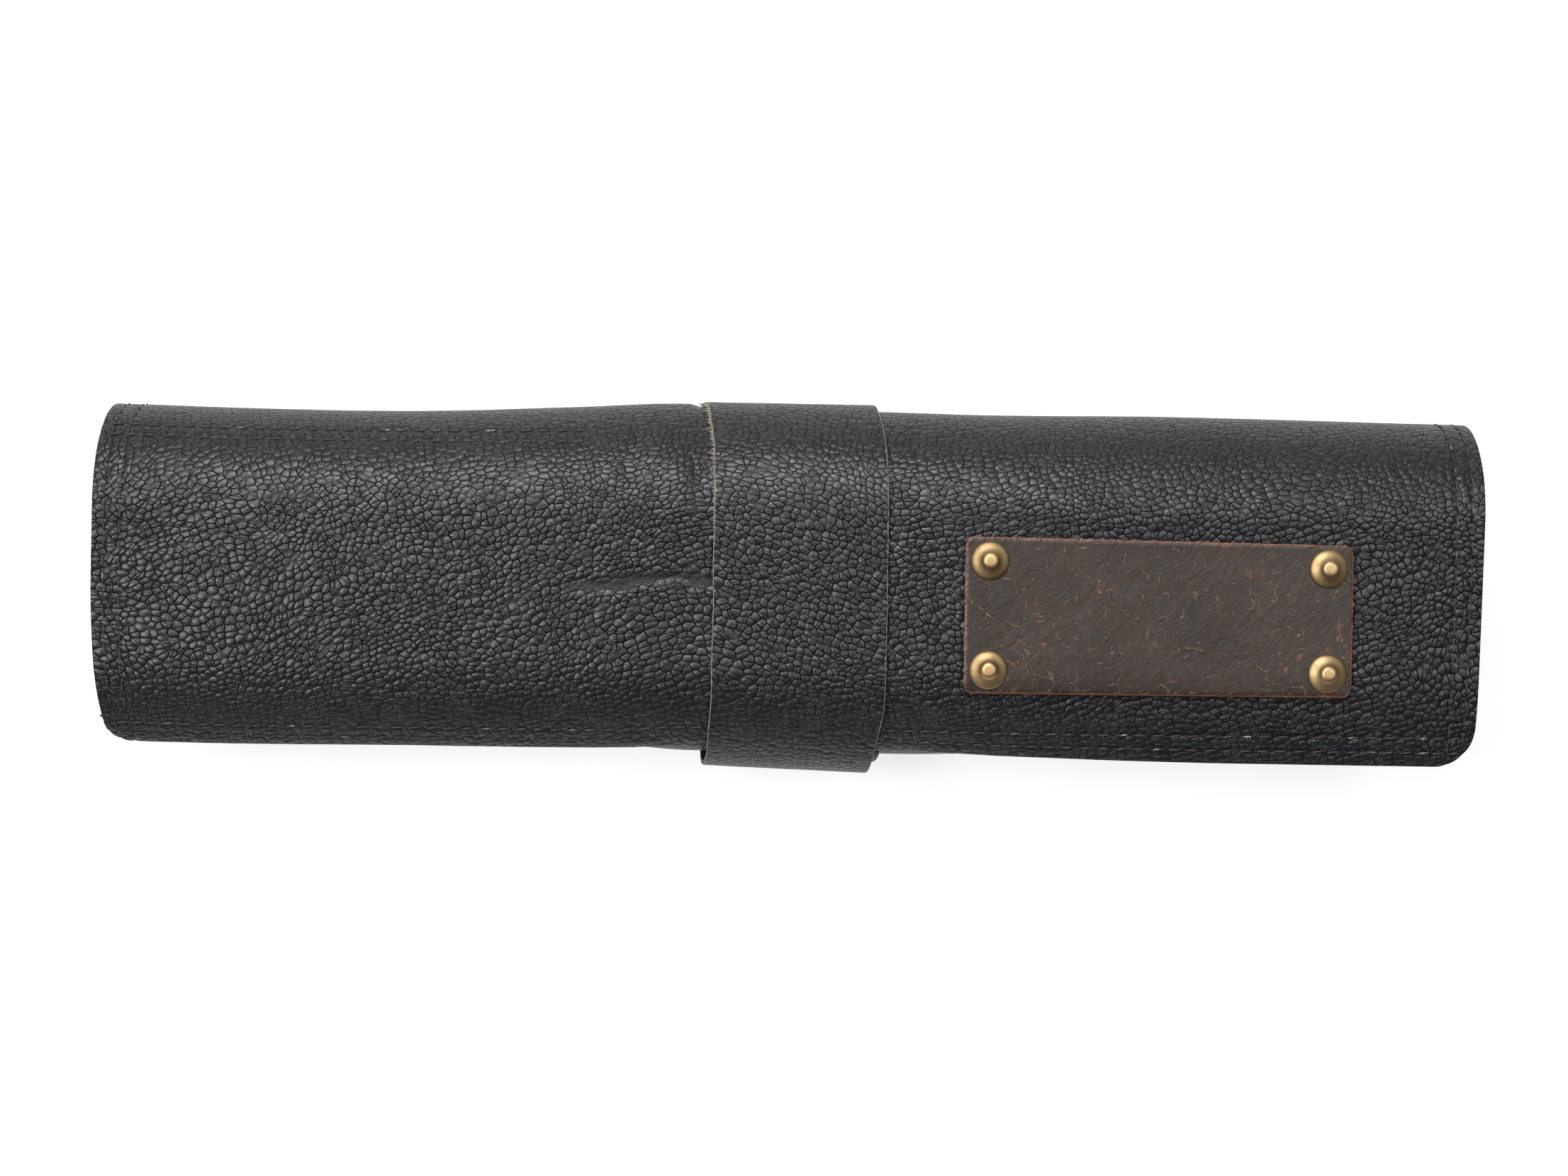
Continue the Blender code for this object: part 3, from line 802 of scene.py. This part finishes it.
def closure_band(materials):
    """The broad strip round the middle, with its cut edges a little wavy."""
    side = BAND_WIDTH / 2
    border_run, fine, plain = 0.002, 0.0005, 0.0022
    elsewhere = 1.3  # metres further on in the hide, so that the band's grain is not the roll's
    marks = [(-side, fine), (border_run - side, plain), (side - border_run, fine), (side, fine)]
    across = [place / BAND_WIDTH for place in steps(marks)]
    lines = {share: Line(BAND_LEGS, band_turn, band_section(share)) for share in across}
    whole = lines[across[0]].length
    tucked = lines[across[0]].reached[2 * LEG_STEPS]
    around = steps([(0.0, plain), (whole, plain)])

    def place(share, distance):
        line = lines[share]
        (y, z), (dy, dz) = line.read(distance / whole * line.length)
        shift = BAND_TUCK_SHIFT * (1 - smooth(distance / tucked))
        wave = 0.0003 * noise.noise(Vector((distance / 0.013, 5.0 * share, 1.0)))
        x = BAND_AT + band_lean(share, y, z) + shift + BAND_WIDTH * share + wave
        swell = 0.00010 * noise.noise(Vector((x / 0.012, distance / 0.012, 7.0)))
        point = Vector((x, MIDDLE_Y + y, z)) + Vector((0.0, dz, -dy)) * swell
        border = (0.5 - abs(share)) * BAND_WIDTH
        fray = 0.0008 + 0.0005 * noise.noise(Vector((distance / 0.009, side * share, 4.0)))
        drawn = 1.2 * stretched(y) if z > SIDE_HEIGHT else 0.0
        flat = (BAND_WIDTH * share, distance + elsewhere)
        return point, flat, drawn, 1 - smooth(border / fray)

    bm = laid_grid(across, around, place)
    bmesh.ops.reverse_faces(bm, faces=bm.faces)
    piece = add_piece("band", bm, materials)
    leather_wall(piece, BAND_LEATHER)
    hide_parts("closure_band")
    return piece


def band_fibres(finish):
    """Loose fibres along the upper half of the band's left edge, where its cut has frayed."""
    line = Line(BAND_LEGS, band_turn, band_section(-0.5))
    start, end = line.reached[4 * LEG_STEPS - 4], line.reached[5 * LEG_STEPS + 2]
    bm = bmesh.new()
    count = 150
    shortest, extra = 0.0005, 0.0060
    thick, thin = 0.00026, 0.00006
    for k in range(count):
        (y, z), (dy, dz) = line.read(mix(start, end, (k + 0.5) / count))
        out = Vector((0.0, dz, -dy))
        pull = [noise.noise(Vector((k * 1.37, turn, 0.5))) for turn in (2.0, 5.0, 8.0)]
        reach = shortest + extra * abs(pull[0]) ** 1.5 * bell(k / count - 0.35, 0.8)
        aim = Vector((-1.0, dy * 1.8 * pull[1], dz * 1.8 * pull[1])) + out * (0.5 * pull[2])
        x = BAND_AT + band_lean(-0.5, y, z) - BAND_WIDTH / 2 + 0.0002
        root = Vector((x, MIDDLE_Y + y, z)) - out * BAND_LEATHER * (0.35 + 0.5 * pull[2])
        turned = aim.to_track_quat("Z", "Y").to_matrix().to_4x4()
        turned.translation = root + aim.normalized() * reach / 2
        bmesh.ops.create_cone(
            bm, segments=4, radius1=thick, radius2=thin, depth=reach, matrix=turned
        )
    piece = add_piece("band_fibres", bm, [finish])
    return piece


def face_height(x, y):
    """Height of the roll's outer face at x, y on its front, without its dents."""
    cut = section(x)
    below = -FACE_DOWN - (y - MIDDLE_Y)
    if below <= 0:
        return cut["front"]
    run = cut["flap"] - FACE_DOWN
    radius = run / math.sin(2 * math.atan(cut["drop"] / run))
    return cut["front"] - radius + math.sqrt(radius**2 - below**2)


def patch_height(x):
    """How tall the patch is at x: it narrows a little to the right."""
    return mix(PATCH_HEIGHT_LEFT, PATCH_HEIGHT_RIGHT, (x - PATCH_ALONG) / PATCH_LENGTH + 0.5)


def sheet_distance(x, y):
    """Distance along the sheet from the flap's edge to height y on the front."""
    line = roll_line(x)
    return line.reached[LEG_STEPS] + (y - MIDDLE_Y + FACE_DOWN)


def patch_base(x, y):
    """Height of the patch's underside at x, y, clear of the leather's swellings."""
    return face_height(x, y) + CLEARANCE + max(0.0, relief(x, sheet_distance(x, y)))


def rivet_places():
    """(name, x, y) of the four rivets, set in from the patch's corners."""
    places = []
    for side, end in (("left", -1), ("right", 1)):
        x = PATCH_ALONG + end * (PATCH_LENGTH / 2 - RIVET_INSET_X)
        for level, up in (("upper", 1), ("lower", -1)):
            y = MIDDLE_Y - PATCH_BELOW + up * (patch_height(x) / 2 - RIVET_INSET_Y)
            places.append((f"rivet_{level}_{side}", x, y))
    return places


def patch(materials):
    """The leather patch, with rounded corners and rubbed edges."""
    edge = PATCH_LENGTH / 2
    across = steps([(-edge, 0.0004), (-edge + 0.0032, 0.0014), (edge - 0.0032, 0.0004), (edge, 1)])
    around = steps([(-0.5, 0.01), (-0.44, 0.03), (0.44, 0.01), (0.5, 1)])

    def place(along, level):
        inset = edge - abs(along)
        trim = 0.0
        if inset < PATCH_CORNER:
            trim = PATCH_CORNER - math.sqrt(PATCH_CORNER**2 - (PATCH_CORNER - inset) ** 2)
        x = PATCH_ALONG + along
        y = MIDDLE_Y - PATCH_BELOW + level * (patch_height(x) - 2 * trim)
        border = min(inset, (0.5 - abs(level)) * patch_height(x))
        wear = 0.0007 + 0.0007 * noise.noise(Vector((x / 0.004, y / 0.004, 2.0)))
        worn = 1 - smooth(border / wear)
        pillow = 0.0004 * (1 - smooth(border / 0.0012))
        return Vector((x, y, patch_base(x, y) + PATCH_LEATHER - pillow)), (x, y), worn, 0.0

    piece = add_piece("leather_patch", laid_grid(across, around, place), materials)
    leather_wall(piece, PATCH_LEATHER)
    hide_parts("patch")
    return piece


def rivet(name, x, y, finish):
    """A domed cap drawn up to a flat-topped nub, on its shank and flat tail."""
    around = (-RIVET_CAP, 0.0, RIVET_CAP)
    seat = max(patch_base(x + dx, y + dy) for dx in around for dy in around)
    seat += PATCH_LEATHER - RIVET_BITE
    tail_top = face_height(x, y) - LEATHER - (LAYER_GAP - RIVET_TAIL_THICK) / 2 - seat
    flank = [  # shares of the cap's radius, heights, and how dull the brass is there
        (1.000, 0.00000, 0.8),
        (1.000, 0.00030, 0.6),
        (0.975, 0.00062, 0.3),
        (0.925, 0.00095, 0.1),
        (0.860, 0.00124, 0.0),
        (0.790, 0.00150, 0.0),
        (0.710, 0.00178, 0.0),
        (0.630, 0.00208, 0.0),
        (0.560, 0.00240, 0.0),
        (0.500, 0.00275, 0.1),
        (0.455, 0.00312, 0.1),
        (0.420, 0.00350, 0.1),
        (0.385, 0.00383, 0.0),
        (0.330, 0.00410, 0.0),
        (0.250, 0.00425, 0.0),
        (0.150, 0.00430, 0.0),
    ]
    outline = [
        (0.0, tail_top - RIVET_TAIL_THICK, 0.0),
        (RIVET_TAIL, tail_top - RIVET_TAIL_THICK, 0.0),
        (RIVET_TAIL, tail_top, 0.0),
        (RIVET_SHANK, tail_top, 0.0),
        (RIVET_SHANK, 0.0, 1.0),
    ]
    outline += [(RIVET_CAP * out, height, dull) for out, height, dull in flank]
    outline += [(0.0, RIVET_NUB_HEIGHT, 0.0)]
    bm = bmesh.new()
    worn_layer = bm.verts.layers.float.new("worn")
    verts = []
    for radius, height, dull in outline:
        vert = bm.verts.new((radius, 0.0, height))
        vert[worn_layer] = dull
        verts.append(vert)
    edges = [bm.edges.new(pair) for pair in zip(verts, verts[1:])]
    bmesh.ops.spin(
        bm,
        geom=verts + edges,
        axis=(0, 0, 1),
        cent=(0, 0, 0),
        angle=math.tau,
        steps=48,
        use_merge=True,
    )
    bmesh.ops.remove_doubles(bm, verts=bm.verts, dist=1e-6)
    bmesh.ops.recalc_face_normals(bm, faces=bm.faces)
    bmesh.ops.translate(bm, vec=(x, y, seat), verts=bm.verts)
    piece = add_piece(f"brass_{name}", bm, [finish])
    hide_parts(name)
    return piece


def add_stitch(bm, point, normal, direction, length):
    """One stitch: a short length of thread that rises from one hole and sinks into the next."""
    side = normal.cross(direction)
    turned = Matrix((direction, side, normal)).transposed().to_4x4()
    turned.translation = point + normal * THREAD * 0.35
    shape = turned @ Matrix.Diagonal((length / 2, THREAD * 0.62, THREAD * 0.62, 1.0))
    bmesh.ops.create_uvsphere(bm, u_segments=6, v_segments=6, radius=1.0, matrix=shape)


def stitch_row(bm, start, end, place):
    """Stitches from start to end, each laid by place, which gives point, normal and direction."""
    count = max(1, round(abs(end - start) / STITCH_PITCH))
    for k in range(count):
        at = mix(start, end, (k + 0.5) / count)
        point, normal, direction = place(at)
        slack = 0.10 * noise.noise(point * 900)
        side = normal.cross(direction)
        direction = (direction + side * (0.09 + slack)).normalized()
        add_stitch(bm, point, normal, direction, STITCH_LENGTH)


def roll_stitches(finish):
    """The rows along both ends, along the flap's edge and in the short upper seam."""
    half = ROLL_LENGTH / 2
    bm = bmesh.new()

    def along_row(distance):
        def place(x):
            point, normal, _ = on_roll(x, distance)
            ahead = on_roll(x + 0.001, distance)[0]
            point += normal * relief(x, distance)
            return point, normal, (ahead - on_roll(x, distance)[0]).normalized()

        return place

    def around_row(x):
        def place(distance):
            point, normal, direction = on_roll(x, distance)
            shown = 1 - smooth((distance - 0.15) / 0.02)
            return point + normal * relief(x, distance) * shown, normal, direction

        return place

    for row in FLAP_ROWS:
        stitch_row(bm, -half + 0.004, half - 0.004, along_row(row))
    for row in SEAM_ROWS:
        stitch_row(bm, -half + 0.002, SEAM_END, along_row(row))
    for row in END_ROWS:
        for x in (-half + row, half - row):
            stitch_row(bm, corner_trim(x) + 0.003, roll_line(x).length - 0.004, around_row(x))
    stitch_row(bm, SEAM_ROWS[0], SEAM_ROWS[1], around_row(SEAM_END))
    piece = add_piece("roll_stitches", bm, [finish])
    return piece


def studio():
    """Light table, a strip light from behind, a softbox on either side and a faint fill."""
    bpy.ops.mesh.primitive_plane_add(size=12, location=(0, 0, -0.0003))
    floor = bpy.context.object
    floor.name = "floor"
    floor.data.materials.append(pale_floor("frosted light table"))

    def soft_light(name, place, aim, size, power, colour):
        data = bpy.data.lights.new(name, "AREA")
        data.color = colour
        data.shape = "RECTANGLE"
        data.size, data.size_y = size
        data.energy = power
        lamp = bpy.data.objects.new(name, data)
        lamp.location = place
        lamp.rotation_euler = (Vector(place) - Vector(aim)).to_track_quat("Z", "Y").to_euler()
        bpy.context.scene.collection.objects.link(lamp)

    white = (1.0, 0.985, 0.965)
    middle = (0.0, 0.0, 0.05)
    soft_light("strip light", (-0.18, 0.95, 1.21), middle, (0.8, 0.30), 23.0, white)
    soft_light("left softbox", (-0.90, 0.06, 1.55), middle, (0.5, 0.6), 23.0, white)
    soft_light("right softbox", (0.72, 0.30, 1.40), middle, (0.5, 0.4), 9.0, white)
    soft_light("low fill", (-0.55, -0.95, 0.90), middle, (0.8, 0.4), 0.6, white)
    world = bpy.data.worlds.new("studio")
    world.use_nodes = True
    world.node_tree.nodes["Background"].inputs["Color"].default_value = (1.0, 1.0, 1.0, 1.0)
    world.node_tree.nodes["Background"].inputs["Strength"].default_value = 0.01
    bpy.context.scene.world = world
    bpy.context.scene.view_settings.view_transform = "Standard"


def camera():
    """Straight above the roll, turned by one degree as in the photograph."""
    data = bpy.data.cameras.new("camera")
    data.sensor_width = 36.0
    data.lens = 60.6
    made = bpy.data.objects.new("camera", data)
    made.location = (-0.0012, MIDDLE_Y - 0.0014, 0.976)
    made.rotation_euler = (0.0, 0.0, math.radians(1.05))
    bpy.context.scene.collection.objects.link(made)
    bpy.context.scene.camera = made


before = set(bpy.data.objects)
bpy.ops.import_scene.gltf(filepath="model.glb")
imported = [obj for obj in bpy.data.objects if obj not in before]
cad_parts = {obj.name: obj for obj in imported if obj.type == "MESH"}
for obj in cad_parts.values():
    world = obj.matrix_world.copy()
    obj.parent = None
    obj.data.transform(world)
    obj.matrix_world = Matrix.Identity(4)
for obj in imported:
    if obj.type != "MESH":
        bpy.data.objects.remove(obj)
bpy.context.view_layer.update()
camera()
studio()

black = pebbled_leather("milled black cowhide", pebble=0.0022, depth=0.00064)
flesh = suede("black suede flesh side", "2a2725", "171514")
edge = suede("blackened cut edge", "3a3633", "1d1a19")
band_edge = suede("raw cut edge", "8f877e", "4b4541")
fluff = suede("loose hide fibres", "a79d93", "6e665f")
brown = crackled_leather("crackled waxed cowhide")
patch_edge = suede("raw brown edge", "8c5738", "4c2f20")
brass = aged_brass("antique brass")
thread = waxed_thread("bonded polyester thread")

roll = leather_roll([black, flesh, edge])
band = closure_band([black, flesh, band_edge])
fibres = band_fibres(fluff)
patch([brown, patch_edge, patch_edge])
for rivet_name, rivet_x, rivet_y in rivet_places():
    rivet(rivet_name, rivet_x, rivet_y, brass)
stitches = roll_stitches(thread)
roll_line(0.12).length
band_length = Line(BAND_LEGS, band_turn, band_section(0.0)).length
